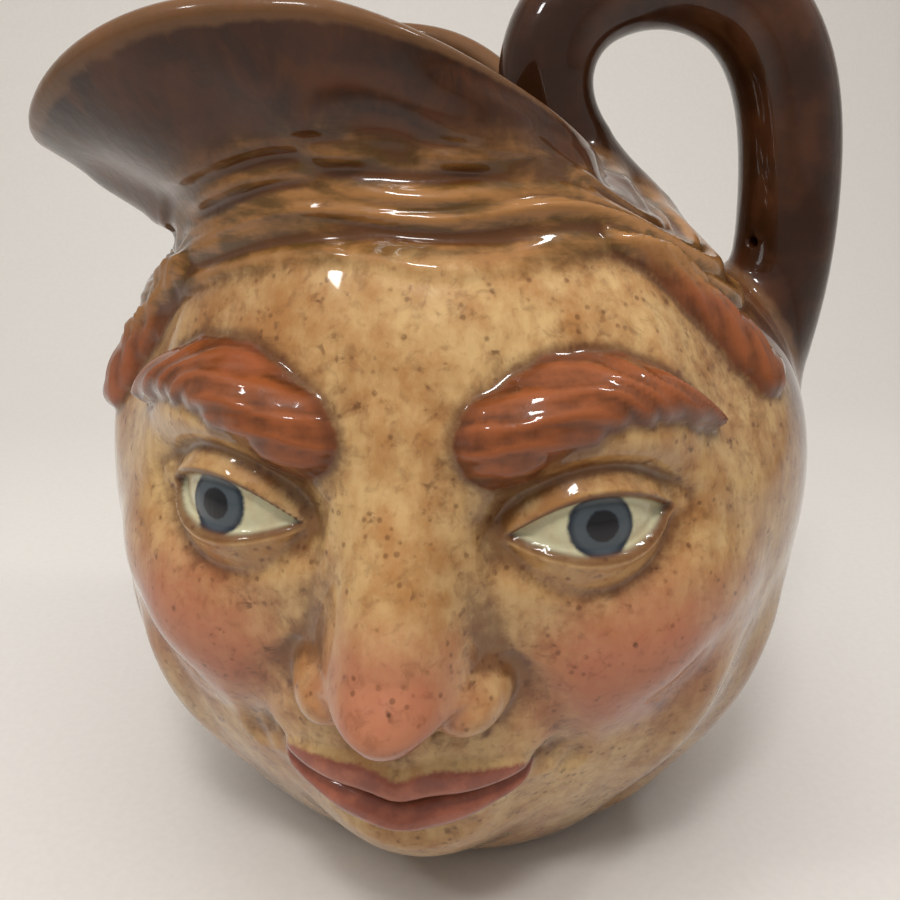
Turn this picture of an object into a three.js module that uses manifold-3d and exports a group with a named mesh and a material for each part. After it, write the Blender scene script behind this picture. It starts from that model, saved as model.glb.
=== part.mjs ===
// A glazed earthenware face jug. The body is a hollow head, the flared hat brim is the
// pouring rim, and one looped handle rises from the brim and lands on the shoulder.
// Millimetres, +Z up, origin at the centre of the flat foot. The pouring lip points to -X,
// the handle to +X, and the face looks to -Y turned a little toward the lip.

import { BufferAttribute, BufferGeometry, Group, Mesh, MeshStandardMaterial, Vector3 } from 'three';
import Module from 'manifold-3d';

// ---- Vessel -------------------------------------------------------------------------

const WALL = 4.6;
const FOOT_RADIUS = 36;
const BELLY_RADIUS = 75.7;
const BELLY_LEVEL = 82;
const HAT_LINE_LEVEL = 138;
const LIP_REACH = 80;
const LIP_LEVEL = 143.5;
const HANDLE_SIDE_REACH = 25.5;
const HANDLE_SIDE_LEVEL = 141;
const FRONT_CREST_LEVEL = 164;
const BACK_CREST_LEVEL = 168;

// Rings from the foot to the rim. Each gives how far it reaches toward the lip, the handle,
// the face and the back, the level on those four sides, and the mesh rows up to the next.
const RINGS = [
  ring(allRound(FOOT_RADIUS), allRound(0), 1),
  ring([44, 43, 43, 43], allRound(1.5), 3),
  ring([59, 56, 56, 56], allRound(19), 8),
  ring([72, 70, 70, 70], allRound(47), 12),
  ring(allRound(BELLY_RADIUS), allRound(BELLY_LEVEL), 10),
  ring([70.5, 68, 73, 73], [106, 106, 108, 108], 5),
  ring([62.5, 54, 62, 62], [117, 119, 127, 126], 3),
  ring([55.5, 37, 56, 54], [125, 133, HAT_LINE_LEVEL, 137], 3),
  ring([61, 29, 59, 57], [131, 138, 150, 151], 3),
  ring(
    [LIP_REACH, HANDLE_SIDE_REACH, 64, 57],
    [LIP_LEVEL, HANDLE_SIDE_LEVEL, FRONT_CREST_LEVEL, BACK_CREST_LEVEL],
    0,
  ),
];
const HAT_LINE_RING = 7;

// How flat each crest of the rim stays before it falls to the lip and to the handle.
const CREST_FULLNESS = { faceLip: 1.3, faceHandle: 0.8, backLip: 0.6, backHandle: 2.2 };

// ---- Handle -------------------------------------------------------------------------

// The centre line in the plane y = 0, from inside the neck wall over the top and down to
// the shoulder, as (x, z, radius).
const HANDLE_LINE = [
  [53, 117, 2],
  [42, 126, 4],
  [27, 136, 9],
  [17.5, 147, 9.4],
  [15.5, 160, 9.6],
  [22.5, 172, 9.8],
  [40, 177, 10],
  [57, 171.5, 10.3],
  [66.5, 157, 10.5],
  [69.5, 136, 10.5],
  [69.5, 114, 10.5],
  [65, 92, 10.5],
];
const HANDLE_FLATNESS = 0.92;
const HANDLE_SIDES = 14;
const HANDLE_SECTIONS = 26;

// ---- Face, measured around the head from its middle (u) and up from the foot (v) -----

const FACE_TURN = 12;
const FACE_ROUND = 70;

// The large soft forms of the head. Those away from the middle come in pairs.
const HEAD_FORMS = {
  forehead: { at: [0, 123], size: [50, 22], rise: 2.5 },
  glabella: { at: [0, 103], size: [11, 11], rise: 1.5 },
  browRidge: { at: [30, 105], size: [27, 11], rise: 4.5 },
  socket: { at: [31, 90.5], size: [22, 14], rise: -6.5 },
  innerSocket: { at: [17, 91], size: [9, 10], rise: -2.5 },
  temple: { at: [64, 109], size: [18, 22], rise: -2.5 },
  cheekbone: { at: [47, 72], size: [25, 18], rise: 4 },
  cheek: { at: [35, 62], size: [20, 18], rise: 4 },
  jaw: { at: [66, 42], size: [30, 28], rise: 2.5 },
  muzzle: { at: [0, 46], size: [33, 23], rise: 5.5 },
  underLip: { at: [0, 32.5], size: [18, 7], rise: -3 },
  chin: { at: [0, 25], size: [31, 20], rise: 6.5 },
};
const EYE = {
  at: [30.5, 90.3],
  halfWidth: 13.5,
  ballRadius: 15,
  ballRise: 1.6,
  lid: 2.1,
  lidBlend: 1.6,
  slant: 0.9,
  upperArch: 5.6,
  lowerArch: -3.7,
};
const NOSE = {
  root: 97,
  tip: 66.5,
  rootRise: 2,
  bridgeRise: 17.5,
  tipRise: 19.5,
  rootHalfWidth: 9,
  bridgeHalfWidth: 15,
  flankSoftness: 1.4,
  tipSize: [10.5, 9.5],
  fadeAboveRoot: 0.5,
  fadeBelowTip: 2.2,
  fadeBeside: 2,
  blend: 4.5,
};
const NOSE_WING = { at: [9.8, 62.8], size: [10, 8.8], rise: 10.5, blend: 5 };
const NOSE_TO_CHEEK_BLEND = 3;
const NOSE_HOLLOW_INSIDE = { at: [0, 72], size: [17, 26], rise: 10 };
const MOUTH = { v: 43, halfWidth: 23, corner: 1.6, grooveDepth: 1.6, grooveHalfWidth: 1.5 };
const UPPER_LIP = { height: 6.6, rise: 3, taper: 0.75 };
const LOWER_LIP = { height: 7, rise: 3.9, taper: 0.6 };
const LIP_FULLEST_AT = 0.45;
const PHILTRUM = { at: [0, 53], size: [2.8, 5], rise: -1 };
const MOUTH_CORNER = { at: [25.5, 44.8], size: [5, 6], rise: -1.8 };

// Raised strokes along a bent line: hair and folds. Widths are at the start, middle and end.
const BROW = { line: [[15, 104], [33, 118], [55, 104]], widths: [6.4, 7, 2], rise: 4 };
// The lock of hair hangs from the hat-line, so its levels are measured down from that.
const LOCK = { line: [[54, -4], [69, -8.5], [77, -26]], widths: [4, 6.5, 5.5], rise: 3.6 };
const SMILE_FOLD = { line: [[17, 66], [27, 59], [31, 42]], widths: [4, 6.5, 4], rise: -1.3 };

// ---- Neck, back of the hair and hat --------------------------------------------------

const NECK_FOLD = { wave: 4.2, rise: 1.3, lean: 0.35, level: 40 };
const NECK_FOLD_AREA = { around: [72, 112, 14], levels: [20, 52, 16] };
const HAIR_WAVE = { wave: 6.5, rise: 1.1, lean: 1 / 30 };
const HAIR_AREA = { around: [130, 260, 16], levels: [40, 112, 20] };
const ROLL = { halfWidth: 5.5, rise: 2.6, sway: 0.9, swayWave: 13 };
const ROLL_DIP = { depth: 9, at: 84, spread: 20 };
const BRIM_FOLD = { wave: 4.6, rise: 0.75, unevenness: 0.6, slowWave: 9, spreading: 0.3 };
const BRIM_FOLD_RINGS = [HAT_LINE_RING + 0.8, HAT_LINE_RING + 1.45, 0.5];
const HEAD_RINGS = [0.8, HAT_LINE_RING - 0.7, 0.6];
const INNER_FOLLOWING = 0.85;

// ---- Mesh density -------------------------------------------------------------------

const COLUMNS = 76;
const FACE_CROWDING = 0.6;
const RIM_ROWS = 2;
const INNER_ROWS = 12;
const INNER_LOW_END = 0.5;
const STROKE_PIECES = 12;
const PLUG_RINGS = { from: 1, to: 5.5, step: 0.5 };
const SLOPE_STEP = 0.002;
const CURVE_STEP = 0.01;

// ---- Small helpers ------------------------------------------------------------------

function ring(reach, levels, rows) {
  const [lip, handle, face, back] = reach;
  const [lipLevel, handleLevel, faceLevel, backLevel] = levels;
  return { lip, handle, face, back, lipLevel, handleLevel, faceLevel, backLevel, rows };
}

function allRound(size) {
  return [size, size, size, size];
}

function mix(from, to, share) {
  return from + (to - from) * share;
}

function clamp(value, low, high) {
  return Math.min(Math.max(value, low), high);
}

function smoothMax(a, b, softness) {
  const overlap = Math.max(softness - Math.abs(a - b), 0) / softness;
  return Math.max(a, b) + overlap * overlap * softness * 0.25;
}

// Weights of the four control points that carry a uniform cubic B-spline at share t.
function splineWeights(t) {
  return [
    (1 - t) ** 3 / 6,
    (3 * t ** 3 - 6 * t ** 2 + 4) / 6,
    (-3 * t ** 3 + 3 * t ** 2 + 3 * t + 1) / 6,
    t ** 3 / 6,
  ];
}

// A point on the B-spline through a list of vectors, ending exactly on its end points.
function splinePoint(controls, position) {
  const last = controls.length - 1;
  const start = Math.min(Math.floor(position), last - 1);
  const weights = splineWeights(position - start);
  const before = controls[0].clone().multiplyScalar(2).sub(controls[1]);
  const after = controls[last].clone().multiplyScalar(2).sub(controls[last - 1]);
  const point = new Vector3();
  for (let k = 0; k < 4; k += 1) {
    const index = start + k - 1;
    const control = index < 0 ? before : index > last ? after : controls[index];
    point.addScaledVector(control, weights[k]);
  }
  return point;
}

// ---- Plain vessel surface -----------------------------------------------------------

// A point of one ring at an angle: 0 is the handle side, a quarter turn is the back.
function ringPoint(r, angle) {
  const c = Math.cos(angle);
  const s = Math.sin(angle);
  const isRim = r === RINGS[RINGS.length - 1];
  const facing = s <= 0 ? 'face' : 'back';
  const fullness = isRim ? CREST_FULLNESS[facing + (c <= 0 ? 'Lip' : 'Handle')] : 1;
  const sideShare = Math.abs(c) ** (2 * fullness);
  const sideLevel = mix(r.lipLevel, r.handleLevel, (1 + c) / 2);
  const crestLevel = mix(r.faceLevel, r.backLevel, (1 + s) / 2);
  return new Vector3(
    (r.handle - r.lip) / 2 + ((r.handle + r.lip) / 2) * c,
    (r.back - r.face) / 2 + ((r.back + r.face) / 2) * s,
    mix(crestLevel, sideLevel, sideShare),
  );
}

function plainPoint(angle, height) {
  return splinePoint(RINGS.map((r) => ringPoint(r, angle)), height);
}

function plainFrame(angle, height) {
  const top = RINGS.length - 1;
  const low = clamp(height - SLOPE_STEP, 0, top);
  const high = clamp(height + SLOPE_STEP, 0, top);
  const ahead = plainPoint(angle + SLOPE_STEP, height);
  const around = ahead.sub(plainPoint(angle - SLOPE_STEP, height));
  const up = plainPoint(angle, high).sub(plainPoint(angle, low)).normalize();
  const out = around.cross(up).normalize();
  return { point: plainPoint(angle, height), out, up };
}

// ---- Relief on the face, in millimetres outward --------------------------------------

// A soft swelling, or a hollow when the rise is negative.
function swelling(u, v, { at, size, rise }) {
  const reach = ((u - at[0]) / size[0]) ** 2 + ((v - at[1]) / size[1]) ** 2;
  return reach < 1 ? rise * (1 - reach) ** 2 : 0;
}

// A firm rounded form that keeps falling outside its edge, for blending with smoothMax.
function dome(u, v, centre, size, rise) {
  const reach = ((u - centre[0]) / size[0]) ** 2 + ((v - centre[1]) / size[1]) ** 2;
  return rise * (1 - reach);
}

// A rounded ridge across an offset measured from its middle line.
function ridge(offset, halfWidth, rise) {
  const reach = (offset / halfWidth) ** 2;
  return reach < 1 ? rise * (1 - reach) ** 2 : 0;
}

// A share that is 1 between two ends and fades to 0 beyond them.
function within(value, [low, high, fade]) {
  const inside = Math.min(value - low, high - value) / fade + 1;
  const share = clamp(inside, 0, 1);
  return share * share * (3 - 2 * share);
}

// A bent stroke with round ends: the share of its width an offset reaches, squared, for a
// point near it. The line is three points of a quadratic curve.
function strokeReach(m, v, { line, widths }) {
  let nearest = Infinity;
  for (let k = 0; k < STROKE_PIECES; k += 1) {
    const [startX, startY] = bentPoint(line, k / STROKE_PIECES);
    const [endX, endY] = bentPoint(line, (k + 1) / STROKE_PIECES);
    const [dx, dy] = [endX - startX, endY - startY];
    const share = clamp(((m - startX) * dx + (v - startY) * dy) / (dx * dx + dy * dy), 0, 1);
    const gap = Math.hypot(m - startX - share * dx, v - startY - share * dy);
    const [width] = bentPoint(widths.map((w) => [w, 0]), (k + share) / STROKE_PIECES);
    nearest = Math.min(nearest, (gap / width) ** 2);
  }
  return nearest;
}

function bentPoint(line, t) {
  const [first, bend, last] = line;
  const along = (axis) => (
    (1 - t) ** 2 * first[axis] + 2 * t * (1 - t) * bend[axis] + t * t * last[axis]
  );
  return [along(0), along(1)];
}

function strokeForm(m, v, form) {
  return form.rise * Math.max(1 - strokeReach(m, v, form), 0) ** 1.3;
}

// The large forms of the head, followed by the inner wall too. m is |u|.
function headForms(m, v) {
  let total = 0;
  for (const form of Object.values(HEAD_FORMS)) {
    total += swelling(m, v, form);
  }
  return total;
}

function noseForm(m, v) {
  const along = clamp((NOSE.root - v) / (NOSE.root - NOSE.tip), 0, 1);
  const rise = mix(NOSE.rootRise, NOSE.bridgeRise, along ** 1.1);
  const halfWidth = mix(NOSE.rootHalfWidth, NOSE.bridgeHalfWidth, along);
  const flank = Math.max(1 - (m / halfWidth) ** 2, 0) ** NOSE.flankSoftness;
  const fadeAbove = Math.max(v - NOSE.root, 0) * NOSE.fadeAboveRoot;
  const fadeBelow = Math.max(NOSE.tip - v, 0) * NOSE.fadeBelowTip;
  const fadeBeside = Math.max(m - halfWidth, 0) * NOSE.fadeBeside;
  const bridge = rise * flank - fadeAbove - fadeBelow - fadeBeside;
  const tip = dome(m, v, [0, NOSE.tip], NOSE.tipSize, NOSE.tipRise);
  const wing = swelling(m, v, NOSE_WING);
  return smoothMax(smoothMax(bridge, tip, NOSE.blend), wing, NOSE_WING.blend);
}

// The ball of the eye within its lids: below zero inside the almond opening, whose arches
// lean toward the nose above and away from it below.
function eyeOpening(outward, upward) {
  const x = outward / EYE.halfWidth;
  const y = upward - EYE.slant * x;
  const top = EYE.upperArch * (1 - x * x) * (1 - 0.18 * x);
  const bottom = EYE.lowerArch * (1 - x * x) * (1 + 0.2 * x);
  return Math.max(Math.max(y - top, bottom - y) * 0.9, (Math.abs(x) - 1) * EYE.halfWidth);
}

function withEye(m, v, skin) {
  const outward = m - EYE.at[0];
  const upward = v - EYE.at[1];
  const ball = EYE.ballRise - (outward ** 2 + upward ** 2) / (2 * EYE.ballRadius);
  const lidded = smoothMax(skin, ball + EYE.lid, EYE.lidBlend);
  const opening = clamp(0.5 - eyeOpening(outward, upward) / EYE.lidBlend, 0, 1);
  return mix(lidded, ball, opening);
}

function mouthForm(m, v) {
  const line = MOUTH.v + MOUTH.corner * (m / MOUTH.halfWidth) ** 2;
  const narrowing = Math.max(1 - (m / (MOUTH.halfWidth + 1)) ** 2, 0);
  const lip = v > line ? UPPER_LIP : LOWER_LIP;
  const height = Math.max(lip.height * narrowing ** lip.taper, 0.1);
  const away = clamp(Math.abs(v - line) / height, 0, 1.25);
  const past = (away - LIP_FULLEST_AT) / 0.8;
  const swell = past < 0 ? away / LIP_FULLEST_AT : 1 + past;
  const lips = lip.rise * Math.sin((Math.PI / 2) * swell) * Math.sqrt(narrowing);
  const nearLine = Math.exp(-(((v - line) / MOUTH.grooveHalfWidth) ** 2));
  const groove = MOUTH.grooveDepth * nearLine * within(m, [-1, MOUTH.halfWidth, 3]);
  return lips - groove + swelling(m, v, PHILTRUM) + swelling(m, v, MOUTH_CORNER);
}

// Long soft folds of the neck low on each side, and broad waves of hair round the back.
function sideForms(m, v) {
  const leaning = m - (v - NECK_FOLD.level) * NECK_FOLD.lean;
  const onNeck = within(m, NECK_FOLD_AREA.around) * within(v, NECK_FOLD_AREA.levels);
  const onHair = within(m, HAIR_AREA.around) * within(v, HAIR_AREA.levels);
  const folds = NECK_FOLD.rise * Math.cos(leaning / NECK_FOLD.wave) * onNeck;
  const waves = HAIR_WAVE.rise * Math.cos(m / HAIR_WAVE.wave + v * HAIR_WAVE.lean) * onHair;
  return folds + waves;
}

// The rolled hat-line, dipping toward the locks of hair, and shallow folds over the brim.
// A level above the hat-line is in millimetres.
function hatForms(u, height, levelAbove) {
  const dip = ROLL_DIP.depth * Math.exp(-(((Math.abs(u) - ROLL_DIP.at) / ROLL_DIP.spread) ** 2));
  const sway = ROLL.sway * Math.sin(u / ROLL.swayWave);
  const roll = ridge(levelAbove + sway + dip, ROLL.halfWidth, ROLL.rise);
  const fan = u / (1 + BRIM_FOLD.spreading * Math.max(height - HAT_LINE_RING, 0));
  const uneven = BRIM_FOLD.unevenness * Math.sin(fan / BRIM_FOLD.slowWave);
  const fold = BRIM_FOLD.rise * Math.cos(fan / BRIM_FOLD.wave + uneven);
  return roll + fold * within(height, BRIM_FOLD_RINGS);
}

// How far round from the middle of the face an angle lies, in millimetres of its curve.
function faceOffset(angle) {
  const middle = 1.5 * Math.PI - (FACE_TURN * Math.PI) / 180;
  const turn = angle - middle;
  return FACE_ROUND * Math.atan2(Math.sin(turn), Math.cos(turn));
}

function outerRelief(angle, height, v) {
  const u = faceOffset(angle);
  const m = Math.abs(u);
  const levelAbove = v - plainPoint(angle, HAT_LINE_RING).z;
  const hair = strokeForm(m, v, BROW) + strokeForm(m, levelAbove, LOCK);
  const skin = withEye(m, v, headForms(m, v)) + mouthForm(m, v) + strokeForm(m, v, SMILE_FOLD);
  const head = smoothMax(skin + hair, noseForm(m, v), NOSE_TO_CHEEK_BLEND) + sideForms(m, v);
  return head * within(height, HEAD_RINGS) + hatForms(u, height, levelAbove);
}

function innerRelief(angle, height, v) {
  const m = Math.abs(faceOffset(angle));
  const forms = headForms(m, v) + swelling(m, v, NOSE_HOLLOW_INSIDE);
  return forms * within(height, HEAD_RINGS) * INNER_FOLLOWING;
}

function outerPoint(angle, height) {
  const { point, out } = plainFrame(angle, height);
  return point.addScaledVector(out, outerRelief(angle, height, point.z));
}

// A point within the wall: depth 0 is the plain outside and WALL the inside face.
function wallPoint(angle, height, depth) {
  const { point, out } = plainFrame(angle, height);
  return point.addScaledVector(out, innerRelief(angle, height, point.z) - depth);
}

function rimPoint(angle, share) {
  const { point, out, up } = plainFrame(angle, RINGS.length - 1);
  const turn = Math.PI * share;
  point.addScaledVector(out, (WALL / 2) * (Math.cos(turn) - 1));
  return point.addScaledVector(up, (WALL / 2) * Math.sin(turn));
}

// ---- Closed meshes ------------------------------------------------------------------

// Column angles, crowded over the face and spread over the back.
function columnAngles(count) {
  const middle = 1.5 * Math.PI - (FACE_TURN * Math.PI) / 180;
  const angles = [];
  for (let i = 0; i < count; i += 1) {
    const turn = (2 * Math.PI * i) / count - Math.PI;
    angles.push(middle + turn - FACE_CROWDING * Math.sin(turn));
  }
  return angles;
}

function rowHeights() {
  const heights = [];
  RINGS.forEach((r, index) => {
    for (let k = 0; k < r.rows; k += 1) {
      heights.push(index + k / r.rows);
    }
  });
  heights.push(RINGS.length - 1);
  return heights;
}

// Joins rows of points, each a closed loop, into one closed skin capped at both ends. A row
// may have half the points of the row before it.
function skin(rows) {
  const points = rows.flat();
  const triangles = [];
  let start = 0;
  for (let j = 0; j + 1 < rows.length; j += 1) {
    const count = rows[j].length;
    const next = start + count;
    const nextCount = rows[j + 1].length;
    for (let i = 0; i < nextCount; i += 1) {
      const upper = next + i;
      const upperAfter = next + ((i + 1) % nextCount);
      if (nextCount === count) {
        const after = start + ((i + 1) % count);
        triangles.push([start + i, after, upperAfter], [start + i, upperAfter, upper]);
      } else {
        const left = start + 2 * i;
        const right = start + ((2 * i + 2) % count);
        triangles.push([left, left + 1, upper], [left + 1, upperAfter, upper]);
        triangles.push([left + 1, right, upperAfter]);
      }
    }
    start = next;
  }
  capLoop(points, triangles, 0, rows[0].length, true);
  capLoop(points, triangles, start, rows[rows.length - 1].length, false);
  return { points, triangles };
}

function capLoop(points, triangles, start, count, isFirst) {
  const centre = new Vector3();
  for (let i = 0; i < count; i += 1) {
    centre.addScaledVector(points[start + i], 1 / count);
  }
  const hub = points.push(centre) - 1;
  for (let i = 0; i < count; i += 1) {
    const here = start + i;
    const after = start + ((i + 1) % count);
    triangles.push(isFirst ? [hub, after, here] : [here, after, hub]);
  }
}

function vesselSkin() {
  const angles = columnAngles(COLUMNS);
  const innerAngles = angles.filter((angle, index) => index % 2 === 0);
  const rows = rowHeights().map((height) => angles.map((angle) => outerPoint(angle, height)));
  for (let k = 1; k <= RIM_ROWS; k += 1) {
    rows.push(angles.map((angle) => rimPoint(angle, k / (RIM_ROWS + 1))));
  }
  for (let k = 0; k <= INNER_ROWS; k += 1) {
    const height = mix(RINGS.length - 1, INNER_LOW_END, k / INNER_ROWS);
    rows.push(innerAngles.map((angle) => wallPoint(angle, height, WALL)));
  }
  return skin(rows);
}

// A plug that fills the belly out to the middle of its wall, used to trim the handle.
function bellyPlugSkin() {
  const angles = columnAngles(COLUMNS / 2);
  const rows = [];
  for (let height = PLUG_RINGS.from; height <= PLUG_RINGS.to; height += PLUG_RINGS.step) {
    rows.push(angles.map((angle) => wallPoint(angle, height, WALL / 2)));
  }
  return skin(rows);
}

function handleSkin() {
  const centres = HANDLE_LINE.map(([x, z]) => new Vector3(x, 0, z));
  const radii = HANDLE_LINE.map(([, , radius]) => new Vector3(radius, 0, 0));
  const last = HANDLE_LINE.length - 1;
  const rows = [];
  for (let j = 0; j <= HANDLE_SECTIONS; j += 1) {
    const position = (last * j) / HANDLE_SECTIONS;
    const centre = splinePoint(centres, position);
    const radius = splinePoint(radii, position).x;
    const ahead = splinePoint(centres, Math.min(position + CURVE_STEP, last));
    const behind = splinePoint(centres, Math.max(position - CURVE_STEP, 0));
    const along = ahead.sub(behind).normalize();
    const sideways = new Vector3(0, 1, 0);
    const outward = new Vector3().crossVectors(sideways, along);
    const row = [];
    for (let i = 0; i < HANDLE_SIDES; i += 1) {
      const turn = (2 * Math.PI * i) / HANDLE_SIDES;
      const point = centre.clone().addScaledVector(outward, radius * Math.cos(turn));
      row.push(point.addScaledVector(sideways, radius * HANDLE_FLATNESS * Math.sin(turn)));
    }
    rows.push(row);
  }
  return skin(rows);
}

// ---- Joining ------------------------------------------------------------------------

const wasm = await Module();
wasm.setup();

function toSolid({ points, triangles }) {
  const vertProperties = new Float32Array(points.flatMap((p) => [p.x, p.y, p.z]));
  const triVerts = new Uint32Array(triangles.flat());
  return new wasm.Manifold(new wasm.Mesh({ numProp: 3, vertProperties, triVerts }));
}

function toMesh(name, solid, material) {
  const { numProp, vertProperties, triVerts } = solid.getMesh();
  const geometry = new BufferGeometry();
  geometry.setAttribute('position', new BufferAttribute(new Float32Array(vertProperties), numProp));
  geometry.setIndex(new BufferAttribute(new Uint32Array(triVerts), 1));
  geometry.computeVertexNormals();
  const mesh = new Mesh(geometry, material);
  mesh.name = name;
  return mesh;
}

const glaze = new MeshStandardMaterial({ color: 0x9c7350, roughness: 0.25, metalness: 0 });
const handle = toSolid(handleSkin()).subtract(toSolid(bellyPlugSkin()));
const jug = toSolid(vesselSkin()).add(handle);

const part = new Group();
part.name = 'toby_jug';
part.add(toMesh('jug', jug, glaze));

export default part;
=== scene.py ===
import math
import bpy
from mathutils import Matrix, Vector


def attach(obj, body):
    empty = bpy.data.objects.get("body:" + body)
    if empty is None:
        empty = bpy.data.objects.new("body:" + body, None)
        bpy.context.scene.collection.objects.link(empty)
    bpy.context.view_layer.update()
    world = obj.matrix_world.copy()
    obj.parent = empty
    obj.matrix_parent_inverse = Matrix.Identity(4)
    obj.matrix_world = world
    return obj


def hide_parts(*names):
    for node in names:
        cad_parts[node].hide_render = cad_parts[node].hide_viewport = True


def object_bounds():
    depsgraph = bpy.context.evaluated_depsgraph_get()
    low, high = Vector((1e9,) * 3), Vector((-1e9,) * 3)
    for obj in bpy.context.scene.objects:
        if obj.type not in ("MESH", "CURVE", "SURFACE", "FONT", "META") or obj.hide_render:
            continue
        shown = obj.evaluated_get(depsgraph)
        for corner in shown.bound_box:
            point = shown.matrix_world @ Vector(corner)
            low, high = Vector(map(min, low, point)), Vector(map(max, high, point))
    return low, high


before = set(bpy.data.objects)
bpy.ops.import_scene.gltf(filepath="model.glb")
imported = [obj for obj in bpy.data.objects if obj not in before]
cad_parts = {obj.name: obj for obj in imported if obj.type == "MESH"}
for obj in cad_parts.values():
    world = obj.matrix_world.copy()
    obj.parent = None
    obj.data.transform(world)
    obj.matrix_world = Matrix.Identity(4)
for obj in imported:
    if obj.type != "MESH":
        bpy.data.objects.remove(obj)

from types import SimpleNamespace as Named

import bpy
import numpy as np
from bpy.props import FloatProperty, FloatVectorProperty, IntProperty, PointerProperty
from mathutils import Vector
from mathutils.kdtree import KDTree

bl_info = {
    "name": "Face jug",
    "version": (1, 0, 0),
    "blender": (4, 5, 0),
    "location": "View3D > Sidebar > Face jug",
    "description": "A glazed earthenware face jug with a hat brim, a lip and one looped handle",
    "category": "Object",
}

# ---- Sizes ------------------------------------------------------------------------------
# Shapes are worked out in design millimetres and scaled by MM, so they follow the frame.

CAD_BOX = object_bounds()
DESIGN_HEIGHT = 185.2
MM = (CAD_BOX[1].z - CAD_BOX[0].z) / DESIGN_HEIGHT

WALL = 4.6
FACE_TURN = math.radians(12)
FACE_MIDDLE = 1.5 * math.pi - FACE_TURN
FACE_ROUND = 70.0
FOOT_RADIUS = 36
BELLY_RADIUS = 75.7
BELLY_LEVEL = 82
HAT_LINE_LEVEL = 138
LIP_REACH = 80
LIP_LEVEL = 143.5
HANDLE_SIDE_REACH = 25.5
HANDLE_SIDE_LEVEL = 141
FRONT_CREST_LEVEL = 164
BACK_CREST_LEVEL = 168


def ring(reach, levels):
    """One ring of the vessel: reach and level toward the lip, handle, face and back."""
    return {"reach": reach, "levels": levels}


def flat(level):
    return (level,) * 4


RINGS = (
    ring(flat(FOOT_RADIUS), flat(0)),
    ring((44, 43, 43, 43), flat(1.5)),
    ring((59, 56, 56, 56), flat(19)),
    ring((72, 70, 70, 70), flat(47)),
    ring(flat(BELLY_RADIUS), flat(BELLY_LEVEL)),
    ring((70.5, 68, 73, 73), (106, 106, 108, 108)),
    ring((62.5, 54, 62, 62), (117, 119, 127, 126)),
    ring((55.5, 37, 56, 54), (125, 133, HAT_LINE_LEVEL, 137)),
    ring((61, 29, 59, 57), (131, 138, 150, 151)),
    ring(
        (LIP_REACH, HANDLE_SIDE_REACH, 64, 57),
        (LIP_LEVEL, HANDLE_SIDE_LEVEL, FRONT_CREST_LEVEL, BACK_CREST_LEVEL),
    ),
)
TOP = len(RINGS) - 1
HAT_LINE_RING = 7
CREST_FULLNESS = {"face lip": 1.3, "face handle": 0.8, "back lip": 0.6, "back handle": 2.2}

# The foot's dish from the middle outward: share of the foot's reach, share of the depth.
FOOT_DISH = ((0.3, 1.0), (0.6, 1.0), (0.78, 0.9), (0.86, 0.2), (0.9, 0.0))

# The handle's centre line in the plane y = 0 as (x, z, radius).
HANDLE_LINE = (
    (53, 117, 2),
    (42, 126, 4),
    (27, 136, 9),
    (17.5, 147, 9.4),
    (15.5, 160, 9.6),
    (22.5, 172, 9.8),
    (40, 177, 10),
    (57, 171.5, 10.3),
    (66.5, 157, 10.5),
    (69.5, 136, 10.5),
    (69.5, 114, 10.5),
    (65, 92, 10.5),
)
HANDLE_FLATNESS = 0.92

# The vent hole in the handle: its mouth, the way it faces, and its reach and radius.
VENT_AT = (60.5, -5.05, 124.0)
VENT_TURN = math.radians(212)
VENT_PROFILE = ((-3.5, 0.7), (-1.2, 1.0), (-0.5, 1.15), (0.1, 1.5), (0.9, 2.4))

# The large soft forms of the head, in pairs away from the middle: (u, v), half sizes, rise.
HEAD_FORMS = {
    "forehead": ((0, 123), (50, 22), 2.5),
    "glabella": ((0, 103), (11, 11), 1.5),
    "brow ridge": ((30, 105), (27, 11), 4.5),
    "socket": ((31, 90.5), (22, 14), -6.5),
    "inner socket": ((17, 91), (9, 10), -2.5),
    "temple": ((64, 109), (18, 22), -2.5),
    "cheekbone": ((47, 72), (25, 18), 4),
    "cheek": ((35, 62), (20, 18), 4),
    "jaw": ((66, 42), (30, 28), 2.5),
    "muzzle": ((0, 46), (33, 23), 5.5),
    "under lip": ((0, 32.5), (18, 7), -3),
    "chin": ((0, 25), (31, 20), 6.5),
}
HEAD_SPAN = (0.8, HAT_LINE_RING - 0.7, 0.6)
INNER_FOLLOWING = 0.85
NOSE_HOLLOW = ((0, 72), (17, 26), 10)

# The eye: its middle, its almond opening with a lean to each lid, and its ball. NO_BALL
# lies below every form of the face.
NO_BALL = -50
EYE = Named(
    u=30.5, v=90.3, half_width=13.5, tilt=0.9, top=5.6, top_lean=0.18, bottom=3.7,
    bottom_lean=0.2, steepness=0.9, ball_radius=15.0, ball_rise=1.6, surroundings=(22, 16),
)
IRIS = Named(inward=0.3, up=1.0, radius=5.3)
LID = Named(thickness=2.1, softness=1.6, rim=(0.9, 1.4, 0.5), crease=(4.4, 1.6, 0.8))
NOSE = Named(
    root=97.0, tip=66.5, root_rise=2.0, tip_rise=17.5, rise_curve=1.1, root_half_width=9.0,
    tip_half_width=15.0, flank_softness=1.4, fade_above=0.5, fade_below=2.2, fade_beside=2,
    cheek_softness=3.0,
)
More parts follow.
